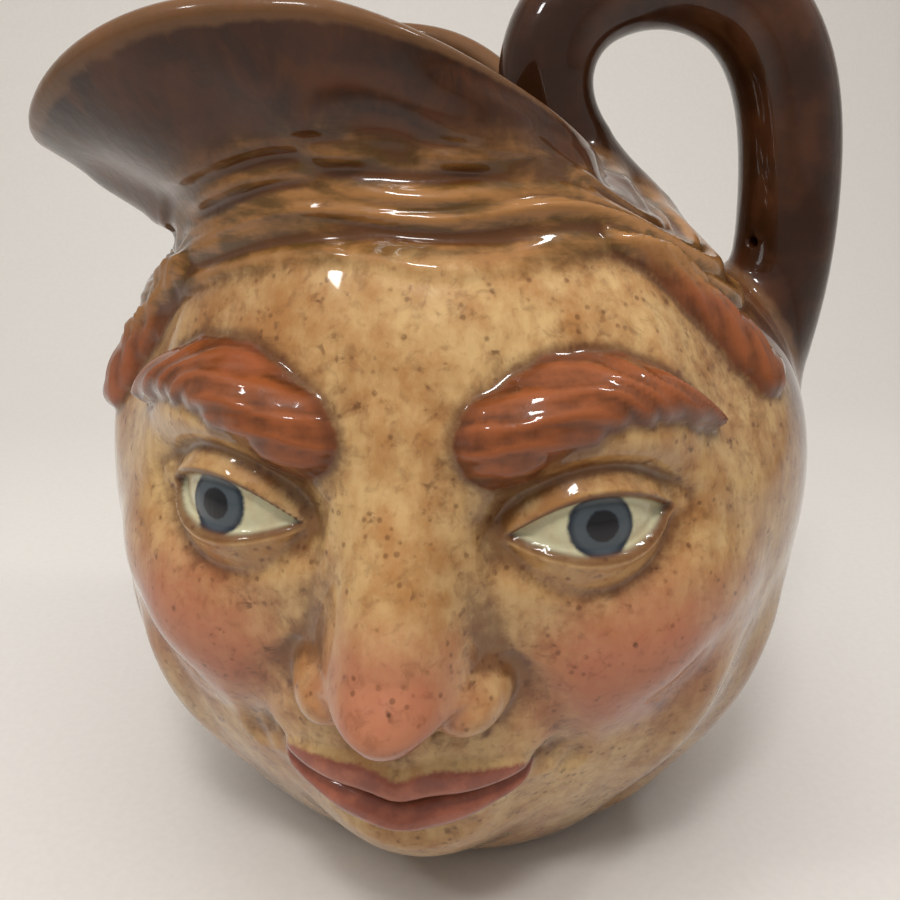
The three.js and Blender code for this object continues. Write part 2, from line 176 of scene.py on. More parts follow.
# Rounded forms joined to the bridge of the nose in this order: middle, half sizes, rise and
# softness of the join.
NOSE_DOMES = {
    "tip": ((0, 66.5), (10.5, 9.5), 19.5, 4.5),
    "wing": ((9.8, 62.8), (8.4, 7.4), 10.0, 5.0),
    "column": ((0, 59), (4.5, 5.0), 9.0, 2.0),
}
NOSTRIL = ((5.6, 57.6), (3.4, 2.3), -4.0)
MOUTH = Named(
    level=43.0, half_width=23.0, corner_rise=1.6, upper=6.6, upper_taper=0.75, lower=7.0,
    lower_taper=0.6, upper_rise=3.0, lower_rise=3.9, notch=(1.4, 2.8), parting=(1.7, 1.1),
)
PHILTRUM = ((0, 53.2), (2.8, 5), -1.0)
PHILTRUM_EDGE = ((4.4, 53), (2.4, 5), 0.7)
MOUTH_CORNER = ((25.5, 44.8), (5, 6), -1.8)
CHEEK_APPLE = ((40, 64), (34, 27), 1)
NOSE_BLUSH = ((0, 68), (17, 19), 1)

# Bent strokes: three points of the line, widths along it and the rise. The lock of hair
# hangs from the hat-line, so its levels are measured down from that.
BROW = (((15, 104), (33, 118), (55, 104)), (6.4, 7.0, 2.0), 4.0)
LOCK = (((54, -4), (69, -8.5), (77, -26)), (3.4, 6.2, 5.3), 3.6)
SMILE_FOLD = (((17, 66), (27, 59), (31, 42)), (4.0, 6.5, 4.0), -1.3)

# Combed hair: strands for each millimetre across and along a lock, and its firmness.
STRANDS = Named(across=0.3, along=0.11, second=1.83, shares=(0.65, 0.35), firmness=0.8)

# Folds low on the neck and waves of hair at the back: spacing, rise, and where they lie
# round the head and up it, each span as two ends and a fade.
NECK_FOLD = Named(spacing=4.2, rise=1.4, lean=0.42, round=(60, 112, 18), up=(16, 52, 18))
HAIR_WAVE = Named(spacing=6.5, rise=1.1, lean=30, round=(130, 260, 16), up=(40, 112, 20))

# The rolled hat-line. It dips toward the locks, and smaller ridges run along it over the
# face, each with its distance above the middle, its sway, half width and rise.
ROLL = Named(half_width=5.3, rise=2.5, groove=(0.8, 1.4, 0.7), over_face=(-1, 95, 15))
ROLL_DIP = Named(depth=9, at=84, width=20, waver=(0.9, 13))
ROLL_RIDGES = ((-6.6, 1.0, 2.6, 0.9), (6.5, -1.0, 2.2, 0.7), (11.0, -1.7, 2.6, 0.5))
CREASE = Named(spacing=4.3, rise=0.3, span=(-7, 9, 3))
BRIM_FOLD_SPAN = (HAT_LINE_RING + 0.8, TOP - 0.55, 0.5)
HAT_SPAN = (0, TOP - 0.6, 0.5)

# ---- Mesh density and joins -------------------------------------------------------------

# How columns and rows crowd: the least density, what is added where detail lies, and the
# two ends and the fade of that stretch in millimetres.
COLUMN_CROWDING = (0.36, 0.64, (-50, 50, 45))
ROW_CROWDING = (0.55, 0.45, (34, 148, 14))
OUTER_DETAIL_RINGS = 8
RIM_ROWS = 7
INNER = Named(rows=30, low=0.5, crowd_from=6)
PLUG = Named(columns=160, rows=24, low=1, high=5.5)
VENT_SIDES = 20
SLOPE_STEP = 0.002
RECESS_WINDOWS = ((5, 1.0), (17, 0.6))

# The handle's roots flow into the body in rounds, and then the seams are smoothed. Points
# of the handle further off the body than OFF_BODY aren't measured along its normals.
HANDLE_SAMPLES = 400
POINTS_AT_ONCE = 2000
OFF_BODY = 25
FLOW_ROUNDS = 5
SEAM_SMOOTHING = 14
SEAM_SHARE = 0.8
FIELD_LIMIT = 30
NO_RIM = 40

# ---- Glaze ------------------------------------------------------------------------------

# Brush patterns: size of their features in millimetres, detail, and how they are drawn out.
PATTERNS = {
    "cloud": {"size": 16, "detail": 4},
    "mottle": {"size": 4.5, "detail": 5, "roughness": 0.62},
    "dabs": {"size": 2.6, "detail": 4, "roughness": 0.6, "distortion": 0.6},
    "grain": {"size": 1.1, "roughness": 0.6},
    "streaks": {"size": 3.4, "detail": 4, "roughness": 0.6, "stretch": (1.0, 1.0, 0.25)},
    "bands": {
        "size": 3.0, "detail": 4, "roughness": 0.6, "stretch": (0.3, 0.3, 1.0),
        "distortion": 0.3,
    },
    "fold": {
        "size": 6, "detail": 4, "roughness": 0.6, "stretch": (1.0, 1.0, 0.4),
        "distortion": 0.5,
    },
    "ripple": {"size": 8, "detail": 2, "roughness": 0.5},
}
STRAYING = ("cloud", "mottle", "dabs", "grain", "streaks", "fold")
FIELDS = (
    "recess", "hat", "side", "level", "inner", "rim", "handle", "hair", "strand", "blush",
    "lips", "eye", "iris",
)

# Washes of colour: the value where each starts, the value where it is full, its strength.
WASHES = {
    "ochre clouds": (0.38, 0.66, 1),
    "ochre strokes": (0.42, 0.68, 0.5),
    "rose": (0.0, 0.85, 0.85),
    "brown dabs": (0.5, 0.7, 0.28),
    "hollows": (0.0, 1.7, 0.68),
    # Painted shade: umber deepening toward the sides of the head and below the mouth, broken up
    # by real brown streaks.
    "painted shade and streaks": (30, 92, 0.4),
    "fine specks": (0.44, 0.58, 0.55),
    "coarse specks": (0.5, 0.62, 0.55),
    "amber clouds": (0.35, 0.7, 1),
    "tan foot": (96, 30, 0.85),
    "brown strokes": (0.45, 0.7, 0.4),
    "back": (80, 94, 1),
    "strands": (-1.5, 0.7, 1),
    "rosy strands": (0.5, 0.66, 0.25),
    "hair": (-0.3, 0.5, 1),
    "hair outline": (2.0, 0.3, 0.6),
    "rosy lips": (0.35, 0.7, 1),
    "lip hollows": (0.2, 1.4, 0.8),
    "lips": (-0.4, 0.4, 1),
    "eye tint": (0.4, 0.7, 0.3),
    "iris": (-0.3, 0.4, 1),
    "iris ring": (1.6, 0.5, 0.5),
    "pupil": (2.5, 3.0, 1),
    "eye": (-0.3, 0.25, 1),
    "lash line": (0.9, 0.2, 0.7),
    "brim clouds": (0.34, 0.74, 0.8),
    "brim amber": (0.44, 0.74, 0.55),
    "hat-line ochre": (0.36, 0.68, 1),
    "hat-line": (15, 2, 0.85),
    "brim hollows": (0.05, 0.7, 0.75),
    "hat": (-11, -6, 1),
    "handle clouds": (0.38, 0.68, 0.8),
    "handle": (-4, 1, 1),
    "seam": (3.6, 0.4, 0.45),
    "cream": (30, 60, 1),
    "rim": (1.8, 0.3, 0.45),
    "bare foot": (0.6, 0.15, 1),
    "satin": (10, 26, 0.42),
    "brush marks": (0.3, 0.7, 0.12),
    "paper fibre": (0.3, 0.7, 1),
}
# Specks: their spacing in millimetres and the share of it that each one fills.
FINE_SPECKS = (2.2, 0.3)
COARSE_SPECKS = (4.6, 0.27)
SPOT_CORE = 0.4
IRIS_RING = 1.9
IRIS_RING_COLOUR = (0.09, 0.11, 0.12)
PUPIL_COLOUR = (0.006, 0.006, 0.008)
LASH_OFFSET = 0.3
BARE_ROUGHNESS = 0.3
GLAZE_BUMP = (0.4, 1.2)
GLOSS = {"Specular IOR Level": 0.1, "Coat Roughness": 0.06, "Coat IOR": 1.38}

# ---- Stage ------------------------------------------------------------------------------

PAPER = Named(fibre=2.0, shade=0.97, roughness=0.85)

# Each area light: its place, what it is aimed at, and its width and height.
LIGHTS = {
    "overhead": ((-80, -90, 640), (0, 0, 60), (700, 700)),
    "window": ((-60, -330, 560), (0, 0, 110), (110, 70)),
    "lamp_left": ((-420, -260, 520), (0, 0, 90), (60, 60)),
    "lamp_right": ((330, -60, 600), (0, 0, 90), (60, 60)),
}
LAMP_SHARE = 0.4
AIR_COLOUR = (1.0, 0.97, 0.93)
AIR_STRENGTH = 0.42
SWEEP = Named(half_width=1500.0, front=-1500.0, back=520.0, radius=260.0, top=1500.0, steps=12)
CAMERA_TARGET = (-2.6, 0, 77.5)
CAMERA_SENSOR = 36
CAMERA_CLIP = 0.01


class JugShape(bpy.types.PropertyGroup):
    """Sizes of the jug that a user would change."""

    wall: FloatProperty(
        name="Wall", description="Thickness of the fired wall", default=WALL * MM, min=0.001,
        unit="LENGTH",
    )
    join: FloatProperty(
        name="Handle join", description="How far the handle roots flow into the body",
        default=8.0 * MM, min=0.001, unit="LENGTH",
    )
    strand_depth: FloatProperty(
        name="Hair strands", description="Depth of the combed lines in brows and locks",
        default=0.42 * MM, min=0.0, unit="LENGTH",
    )
    foot_recess: FloatProperty(
        name="Foot recess", description="Depth of the shallow dish under the foot",
        default=1.2 * MM, min=0.0, unit="LENGTH",
    )
    columns: IntProperty(
        name="Columns", description="Mesh columns round the body", default=344, min=64, max=400,
    )
    rows: IntProperty(
        name="Rows", description="Mesh rows up the outside", default=230, min=48, max=240,
    )


def colour(name, description, red, green, blue):
    """A colour property whose default is given as display values from 0 to 255."""
    return FloatVectorProperty(
        name=name, description=description, subtype="COLOR", size=3, min=0.0, max=1.0,
        default=tuple(to_linear(x / 255) for x in (red, green, blue)),
    )


def to_linear(value):
    return value / 12.92 if value <= 0.04045 else ((value + 0.055) / 1.055) ** 2.4


class JugGlaze(bpy.types.PropertyGroup):
    """Colours of the painted glazes."""

    flesh: colour("Flesh", "Pale cream of the skin", 188, 154, 104)
    ochre: colour("Ochre", "Warm brushed tone over the skin", 156, 108, 60)
    umber: colour("Umber", "Brown wash lying in the hollows", 80, 42, 18)
    blush: colour("Blush", "Rose of cheeks and nose", 158, 92, 68)
    lips: colour("Lips", "Mauve rose of the lips", 130, 72, 56)
    auburn: colour("Auburn", "Brows and side locks", 134, 72, 36)
    # Umber also paints the shade toward the sides of the head and below the mouth.
    eye_white: colour("Eye white", "Painted eyeball", 188, 182, 148)
    iris: colour("Iris", "Painted iris", 30, 38, 48)
    chocolate: colour("Chocolate", "Brim and handle", 42, 20, 6)
    amber: colour("Amber", "Thin translucent streaks on the brim", 88, 46, 16)
    mauve: colour("Mauve", "Cool tone of the thick brown glaze", 74, 40, 20)
    olive: colour("Olive", "Rolled hat-line", 92, 64, 24)
    clay: colour("Clay", "Tan body where the glaze is thin", 128, 92, 60)
    cream: colour("Cream", "Glaze inside the jug", 206, 184, 146)
    roughness: FloatProperty(
        name="Roughness", description="Softness of the glaze under its clear coat",
        default=0.34, min=0.02, max=1.0, subtype="FACTOR",
    )


class StageLook(bpy.types.PropertyGroup):
    """Floor, light and camera."""

    floor: colour("Floor", "Pale floor and backdrop", 210, 205, 199)
    overhead: FloatProperty(
        name="Overhead light", description="Power of the broad light above", default=3.45,
        min=0.0, unit="POWER",
    )
    window: FloatProperty(
        name="Window light", description="Power of the small bright window", default=1.2,
        min=0.0, unit="POWER",
    )
    azimuth: FloatProperty(
        name="Camera azimuth", description="Camera turn about the jug",
        default=math.radians(-4), subtype="ANGLE",
    )
    elevation: FloatProperty(
        name="Camera elevation", description="Camera height above the horizon",
        default=math.radians(20), subtype="ANGLE",
    )
    distance: FloatProperty(
        name="Camera distance", description="From the camera to the jug's middle",
        default=226 * MM, min=0.05, unit="LENGTH",
    )
    lens: FloatProperty(
        name="Lens", description="Focal length in millimetres", default=40.0, min=10.0,
        subtype="DISTANCE_CAMERA",
    )


# ---- Small shape helpers ----------------------------------------------------------------


def mix(start, end, share):
    return start + (end - start) * share


def smooth_step(low, high, value):
    share = np.clip((value - low) / (high - low), 0, 1)
    return share * share * (3 - 2 * share)


def smooth_max(a, b, softness):
    overlap = np.maximum(softness - np.abs(a - b), 0) / softness
    return np.maximum(a, b) + overlap * overlap * softness * 0.25


def within(value, low, high, fade):
    """1 between two ends, fading to 0 beyond them."""
    return smooth_step(0, 1, np.minimum(value - low, high - value) / fade + 1)


def reach_squared(u, v, centre, size):
    return ((u - centre[0]) / size[0]) ** 2 + ((v - centre[1]) / size[1]) ** 2


def swelling(u, v, centre, size, rise):
    """A soft swelling, or a hollow when the rise is negative."""
    return rise * np.clip(1 - reach_squared(u, v, centre, size), 0, None) ** 2


def dome(u, v, centre, size, rise):
    """A firm rounded form that keeps falling outside its edge."""
    return rise * (1 - reach_squared(u, v, centre, size))


def ridge(offset, half_width, rise):
    return rise * np.clip(1 - (offset / half_width) ** 2, 0, None) ** 2


def bell(offset, width):
    """1 in the middle, falling smoothly to nothing on both sides."""
    return np.exp(-((offset / width) ** 2))


def unit(vectors):
    return vectors / np.linalg.norm(vectors, axis=-1, keepdims=True)


def even_steps(density, low, high, count):
    """Count values from low to high, closer together where the density is larger."""
    fine = np.linspace(low, high, 2000)
    weight = density(fine)
    total = np.concatenate([[0], np.cumsum((weight[1:] + weight[:-1]) / 2)])
    return np.interp(np.linspace(0, total[-1], count), total, fine)


def spline_weights(position, count):
    """Rows of uniform cubic B-spline weights whose curve ends on its end points."""
    position = np.atleast_1d(np.asarray(position, float))
    start = np.clip(np.floor(position), 0, count - 2).astype(int)
    t = position - start
    cubic = (
        (1 - t) ** 3 / 6,
        (3 * t**3 - 6 * t**2 + 4) / 6,
        (-3 * t**3 + 3 * t**2 + 3 * t + 1) / 6,
        t**3 / 6,
    )
    weights = np.zeros((len(position), count + 2))
    for k in range(4):
        weights[np.arange(len(position)), start + k] += cubic[k]
    weights[:, 1] += 2 * weights[:, 0]
    weights[:, 2] -= weights[:, 0]
    weights[:, -2] += 2 * weights[:, -1]
    weights[:, -3] -= weights[:, -1]
    return weights[:, 1:-1]


def bent(line, share):
    """A point of the quadratic curve through three control values."""
    first, middle, last = line
    return (1 - share) ** 2 * first + 2 * share * (1 - share) * middle + share**2 * last


def stroke(m, v, form, pieces=24):
    """Where each point lies by a bent stroke: the share of its width reached, millimetres
    along it and to its side, and its width there."""
    line, widths, _ = form
    length = math.dist(line[0], line[1]) + math.dist(line[1], line[2])
    across = tuple(p[0] for p in line)
    upward = tuple(p[1] for p in line)
    reach = np.full(m.shape, 1e6)
    along = np.zeros(m.shape)
    side = np.zeros(m.shape)
    width = np.ones(m.shape)
    for k in range(pieces):
        start, end = k / pieces, (k + 1) / pieces
        a = np.array((bent(across, start), bent(upward, start)))
        step = np.array((bent(across, end), bent(upward, end))) - a
        share = np.clip(((m - a[0]) * step[0] + (v - a[1]) * step[1]) / (step @ step), 0, 1)
        gap_m = m - a[0] - share * step[0]
        gap_v = v - a[1] - share * step[1]
        gap = np.hypot(gap_m, gap_v)
        local = bent(widths, (k + share) / pieces)
        near = gap / local < reach
        past = (step[0] * gap_m + step[1] * gap_v) / math.hypot(*step)
        off = (step[0] * gap_v - step[1] * gap_m) / math.hypot(*step)
        reach = np.where(near, gap / local, reach)
        along = np.where(near, (k + share) / pieces * length + past, along)
        side = np.where(near, off, side)
        width = np.where(near, local, width)
    return reach, along, side, width


# ---- Plain vessel surface ---------------------------------------------------------------


def ring_points(index, angle):
    """Points of one ring: angle 0 is the handle side, a quarter turn is the back."""
    lip, handle, face, back = RINGS[index]["reach"]
    lip_level, handle_level, face_level, back_level = RINGS[index]["levels"]
    c, s = np.cos(angle), np.sin(angle)
    fullness = 1.0
    if index == TOP:
        face_side = np.where(c <= 0, CREST_FULLNESS["face lip"], CREST_FULLNESS["face handle"])
        back_side = np.where(c <= 0, CREST_FULLNESS["back lip"], CREST_FULLNESS["back handle"])
        fullness = np.where(s <= 0, face_side, back_side)
    side_level = mix(lip_level, handle_level, (1 + c) / 2)
    crest_level = mix(face_level, back_level, (1 + s) / 2)
    x = (handle - lip) / 2 + (handle + lip) / 2 * c
    y = (back - face) / 2 + (back + face) / 2 * s
    z = mix(crest_level, side_level, np.abs(c) ** (2 * fullness))
    return np.stack([x, y, z], -1)


def plain_points(angle, height):
    rings = np.stack([ring_points(i, angle) for i in range(len(RINGS))])
    return np.einsum("kr,rnc->knc", spline_weights(height, len(RINGS)), rings)


def plain_frame(angle, height):
    """Points, outward and upward directions on a grid of angles and ring heights."""
    step = SLOPE_STEP
    around = plain_points(angle + step, height) - plain_points(angle - step, height)
    high = plain_points(angle, np.clip(height + step, 0, TOP))
    up = unit(high - plain_points(angle, np.clip(height - step, 0, TOP)))
    return plain_points(angle, height), unit(np.cross(around, up)), up


def spread(angle, height, points):
    """The angle and the ring height of each point of a grid."""
    shape = points.shape[:2]
    return np.broadcast_to(angle, shape), np.broadcast_to(height[:, None], shape)


def face_offset(angle):
    """Millimetres round the head from the middle of the face."""
    turn = angle - FACE_MIDDLE
    return FACE_ROUND * np.arctan2(np.sin(turn), np.cos(turn))


# ---- Relief -----------------------------------------------------------------------------


def on_head(height):
    return within(height, *HEAD_SPAN)


def head_forms(m, v):
    return sum(swelling(m, v, centre, size, rise) for centre, size, rise in HEAD_FORMS.values())


def nose_form(m, v):
    along = np.clip((NOSE.root - v) / (NOSE.root - NOSE.tip), 0, 1)
    rise = mix(NOSE.root_rise, NOSE.tip_rise, along**NOSE.rise_curve)
    half_width = mix(NOSE.root_half_width, NOSE.tip_half_width, along)
    flank = np.clip(1 - (m / half_width) ** 2, 0, None) ** NOSE.flank_softness
    above = np.maximum(v - NOSE.root, 0) * NOSE.fade_above
    below = np.maximum(NOSE.tip - v, 0) * NOSE.fade_below
    beside = np.maximum(m - half_width, 0) * NOSE.fade_beside
    form = rise * flank - above - below - beside
    for centre, size, dome_rise, softness in NOSE_DOMES.values():
        form = smooth_max(form, dome(m, v, centre, size, dome_rise), softness)
    return form


def eye_opening(outward, upward):
    """Signed distance to the edge of the almond opening, below zero inside."""
    x = outward / EYE.half_width
    y = upward - EYE.tilt * x
    top = EYE.top * (1 - x * x) * (1 - EYE.top_lean * x)
    bottom = -EYE.bottom * (1 - x * x) * (1 + EYE.bottom_lean * x)
    edge = np.maximum(y - top, bottom - y) * EYE.steepness
    return np.maximum(edge, (np.abs(x) - 1) * EYE.half_width)


def with_eye(skin, outward, upward, opening):
    """The skin with the eyeball, the lids round it and the crease above them."""
    across, high = EYE.surroundings
    near = (np.abs(outward) < across) & (np.abs(upward) < high)
    ball = EYE.ball_rise - (outward**2 + upward**2) / (2 * EYE.ball_radius)
    skin = smooth_max(skin, np.where(near, ball + LID.thickness, NO_BALL), LID.softness)
    shares = (1, -smooth_step(-3, 2, upward))
    for (away, width, rise), share in zip((LID.rim, LID.crease), shares):
        skin = skin + ridge(opening - away, width, rise) * share
    return mix(skin, np.where(near, ball, 0), smooth_step(-0.8, 0.9, -opening))


def mouth_line(m):
    bow = 0.5 * bell(m - 6, 3.5) - 0.9 * bell(m, 4)
    return MOUTH.level + MOUTH.corner_rise * (m / MOUTH.half_width) ** 2 + bow


def lip_swell(share):
    """Rise across a lip, from the mouth line at 0 to its outer edge at 1."""
    share = np.clip(share, 0, 1.25)
    return np.sin(np.pi / 2 * np.where(share < 0.45, share / 0.45, 1 + (share - 0.45) / 0.8))


def mouth_form(m, v):
    """Relief of the mouth, and the signed distance to the lips' outer edge."""
    line = mouth_line(m)
    taper = np.clip(1 - (m / (MOUTH.half_width + 1)) ** 2, 0, None)
    notch_depth, notch_width = MOUTH.notch
    upper = MOUTH.upper * taper**MOUTH.upper_taper - notch_depth * bell(m, notch_width)
    upper = np.maximum(upper, 0.05)
    lower = np.maximum(MOUTH.lower * taper**MOUTH.lower_taper, 0.05)
    above = v >= line
    share = np.where(above, (v - line) / upper, (line - v) / lower)
    lips = lip_swell(share) * np.where(above, MOUTH.upper_rise, MOUTH.lower_rise)
    groove_depth, groove_width = MOUTH.parting
    groove = -groove_depth * bell(v - line, groove_width) * within(m, -1, MOUTH.half_width, 3)
    philtrum = swelling(m, v, *PHILTRUM) + swelling(m, v, *PHILTRUM_EDGE)
    corner = swelling(m, v, *MOUTH_CORNER)
    edge = (share - 1) * np.where(above, upper, lower)
    edge = np.maximum(edge, m - MOUTH.half_width - 0.5)
    return lips * np.sqrt(taper) + groove + philtrum + corner, edge


def strands(m, v, form, depth):
    """Relief of a lock of hair with combed strands, its signed edge and strand pattern."""
    reach, along, side, width = stroke(m, v, form)
    flow = side * STRANDS.across + along * STRANDS.along
    flow = flow + 0.22 * np.sin(along * 0.21) + 0.1 * np.sin(side * 1.1)
    broad, fine = STRANDS.shares
    pattern = broad * np.cos(2 * np.pi * flow)
    pattern = pattern + fine * np.cos(2 * np.pi * flow * STRANDS.second + along / 9)
    tuft = 1 + 0.05 * np.sin(along * 0.42 + 1.3) + 0.03 * np.sin(along * 0.9)
    body = np.clip(1 - (reach / tuft) ** 2, 0, None) ** STRANDS.firmness
    relief = form[2] * body + depth * (pattern - 1) * np.clip(body * 3, 0, 1)
    return relief, (tuft - reach) * width, pattern


def side_forms(m, v):
    """Long soft folds of the neck low on each side, and broad waves of hair at the back."""
    lean = (v - 40) * NECK_FOLD.lean + 2.5 * np.sin(v / 14)
    folds = np.cos((m - lean) / NECK_FOLD.spacing)
    folds = folds * within(m, *NECK_FOLD.round) * within(v, *NECK_FOLD.up)
    waves = np.cos(m / HAIR_WAVE.spacing + v / HAIR_WAVE.lean)
    waves = waves * within(m, *HAIR_WAVE.round) * within(v, *HAIR_WAVE.up)
    return folds * NECK_FOLD.rise + waves * HAIR_WAVE.rise


def above_roll(u, level_above):
    """Millimetres above the middle of the roll, which dips toward the locks of hair."""
    dip = ROLL_DIP.depth * bell(np.abs(u) - ROLL_DIP.at, ROLL_DIP.width)
    rise, spacing = ROLL_DIP.waver
    return level_above + rise * np.sin(u / spacing) + dip


def hat_forms(u, height, level_above):
    """The rolled hat-line with its ridges and creases, and the folds that fan up the brim."""
    offset = above_roll(u, level_above)
    near_face = within(np.abs(u), *ROLL.over_face)
    sway = 1.6 * np.sin(u / 17 + 0.8) + 0.8 * np.sin(u / 7.5)
    above_groove, width, depth = ROLL.groove
    roll = ridge(offset, ROLL.half_width, ROLL.rise)
    roll = roll - ridge(offset - above_groove + sway * 0.5, width, depth)
    for away, swaying, width, rise in ROLL_RIDGES:
        roll = roll + ridge(offset - away + sway * swaying, width, rise) * near_face
    creases = np.cos(2 * np.pi * (offset + sway * 0.8 + u * 0.02) / CREASE.spacing)
    roll = roll + CREASE.rise * creases * within(offset, *CREASE.span) * near_face
    fan = u / (1 + 0.3 * np.maximum(height - HAT_LINE_RING, 0))
    folds = np.cos(fan / 4.6 + 0.6 * np.sin(fan / 9)) * 0.75 + np.cos(fan / 8.3 + 2) * 0.5
    return (roll + folds * within(height, *BRIM_FOLD_SPAN)) * within(height, *HAT_SPAN)


def outer_relief(angle, height, v, hat_line, strand_depth):
    """Millimetres outward from the plain vessel, and the painted areas as fields."""
    u = face_offset(angle)
    m = np.abs(u)
    outward, upward = m - EYE.u, v - EYE.v
    opening = eye_opening(outward, upward)
    skin = with_eye(head_forms(m, v), outward, upward, opening)
    mouth, lip_edge = mouth_form(m, v)
    fold_reach = stroke(m, v, SMILE_FOLD)[0]
    skin = skin + mouth + SMILE_FOLD[2] * np.clip(1 - fold_reach**2, 0, None) ** 1.3
    brow, brow_edge, brow_pattern = strands(m, v, BROW, strand_depth)
    lock, lock_edge, lock_pattern = strands(m, v - hat_line, LOCK, strand_depth)
    head = smooth_max(skin + brow + lock, nose_form(m, v), NOSE.cheek_softness)
    head = head + swelling(m, v, *NOSTRIL)
    relief = (head + side_forms(m, v)) * on_head(height) + hat_forms(u, height, v - hat_line)
    rosy = swelling(m, v, *CHEEK_APPLE) + swelling(m, v, *NOSE_BLUSH)
    fields = {
        "lips": -lip_edge,
        "eye": -opening,
        "iris": IRIS.radius - np.hypot(outward + IRIS.inward, upward - IRIS.up),
        "hair": np.maximum(brow_edge, lock_edge),
        "strand": np.where(brow_edge > lock_edge, brow_pattern, lock_pattern),
        "hat": above_roll(u, v - hat_line),
        "side": m,
        "level": v,
        "blush": np.clip(rosy, 0, 1),
    }
    return relief, fields


def inner_relief(angle, height, v):
    """Millimetres by which the inside follows the large forms of the outside."""
    m = np.abs(face_offset(angle))
    forms = head_forms(m, v) + swelling(m, v, *NOSE_HOLLOW)
    return forms * on_head(height) * INNER_FOLLOWING


def recess(relief):
    """How far each point lies below its surroundings, from creases up to sockets."""
    depth = np.zeros(relief.shape)
    for window, share in RECESS_WINDOWS:
        blurred = relief
        for _ in range(2):
            for axis in (0, 1):
                blurred = box_blur(blurred, window, axis)
        depth = depth + share * (blurred - relief)
    return depth


def box_blur(values, window, axis):
    """Mean over a window of rows, or of columns that close into a loop."""
    half = window // 2
    pad = [(0, 0), (0, 0)]
    pad[axis] = (half + 1, half)
    padded = np.pad(values, pad, mode="edge" if axis == 0 else "wrap")
    total = np.cumsum(padded, axis)
    count = values.shape[axis]
    high = np.take(total, np.arange(window, window + count), axis)
    return (high - np.take(total, np.arange(count), axis)) / window


# ---- Meshes -----------------------------------------------------------------------------


def column_angles(count):
    """Angles of the mesh columns, closest together over the face."""
    least, added, span = COLUMN_CROWDING

    def density(turn):
        return least + added * within(FACE_ROUND * turn, *span)

    return FACE_MIDDLE + even_steps(density, -math.pi, math.pi, count + 1)[:-1]


def row_heights(count):
    """Ring heights of the mesh rows, closest together from the mouth to the brim."""
    least, added, span = ROW_CROWDING
    middle = np.array([FACE_MIDDLE])

    def density(height):
        points = plain_points(middle, height)[:, 0]
        run = np.linalg.norm(np.gradient(points, axis=0), axis=1)
        detailed = within(points[:, 2], *span) * (height < OUTER_DETAIL_RINGS)
        return run * (least + added * detailed)

    return even_steps(density, 0, TOP, count)


def strip(upper_start, count, lower_start):
    """Quads between two loops of the same count."""
    i = np.arange(count)
    after = (i + 1) % count
    quads = (lower_start + i, lower_start + after, upper_start + after, upper_start + i)
    return np.stack(quads, -1).tolist()


def halving(start, count, next_start):
    """Triangles from a loop to one with half its points."""
    faces = []
    for i in range(count // 2):
        left, right = start + 2 * i, start + (2 * i + 2) % count
        here, after = next_start + i, next_start + (i + 1) % (count // 2)
        faces += [(left, left + 1, here), (left + 1, after, here), (left + 1, right, after)]
    return faces


def loops_to_mesh(name, loops):
    """A closed mesh from a list of point loops, each the size of the last or half of it."""
    points = np.concatenate(loops)
    faces = []
    start = 0
    for low, high in zip(loops[:-1], loops[1:]):
        following = start + len(low)
        if len(high) == len(low):
            faces += strip(following, len(low), start)
        else:
            faces += halving(start, len(low), following)
        start = following
    first, last = len(loops[0]), len(loops[-1])
    hubs = np.array([loops[0].mean(0), loops[-1].mean(0)])
    low_hub, high_hub = len(points), len(points) + 1
    faces += [(low_hub, (i + 1) % first, i) for i in range(first)]
    faces += [(start + i, start + (i + 1) % last, high_hub) for i in range(last)]
    mesh = bpy.data.meshes.new(name)
    mesh.from_pydata(np.concatenate([points, hubs]).tolist(), [], faces)
    return mesh


def mesh_points(mesh):
    points = np.empty(len(mesh.vertices) * 3)
    mesh.vertices.foreach_get("co", points)
    return points.reshape(-1, 3)


def mesh_normals(mesh):
    normals = np.empty(len(mesh.vertices) * 3)
    mesh.vertices.foreach_get("normal", normals)
    return normals.reshape(-1, 3)


def combined(name, first, second, operation):
    """The union or difference of two closed meshes."""
    body = bpy.data.objects.new(name, first)
    tool = bpy.data.objects.new(name + "_tool", second)
    for item in (body, tool):
        bpy.context.collection.objects.link(item)
    modifier = body.modifiers.new("combine", "BOOLEAN")
    modifier.object = tool
    modifier.operation = operation
    modifier.solver = "MANIFOLD"
    graph = bpy.context.evaluated_depsgraph_get()
    result = bpy.data.meshes.new_from_object(body.evaluated_get(graph))
    for item in (body, tool):
        bpy.data.objects.remove(item)
    if len(result.polygons) == 0:
        raise RuntimeError(f"{name}: the {operation.lower()} came out empty")
    return result


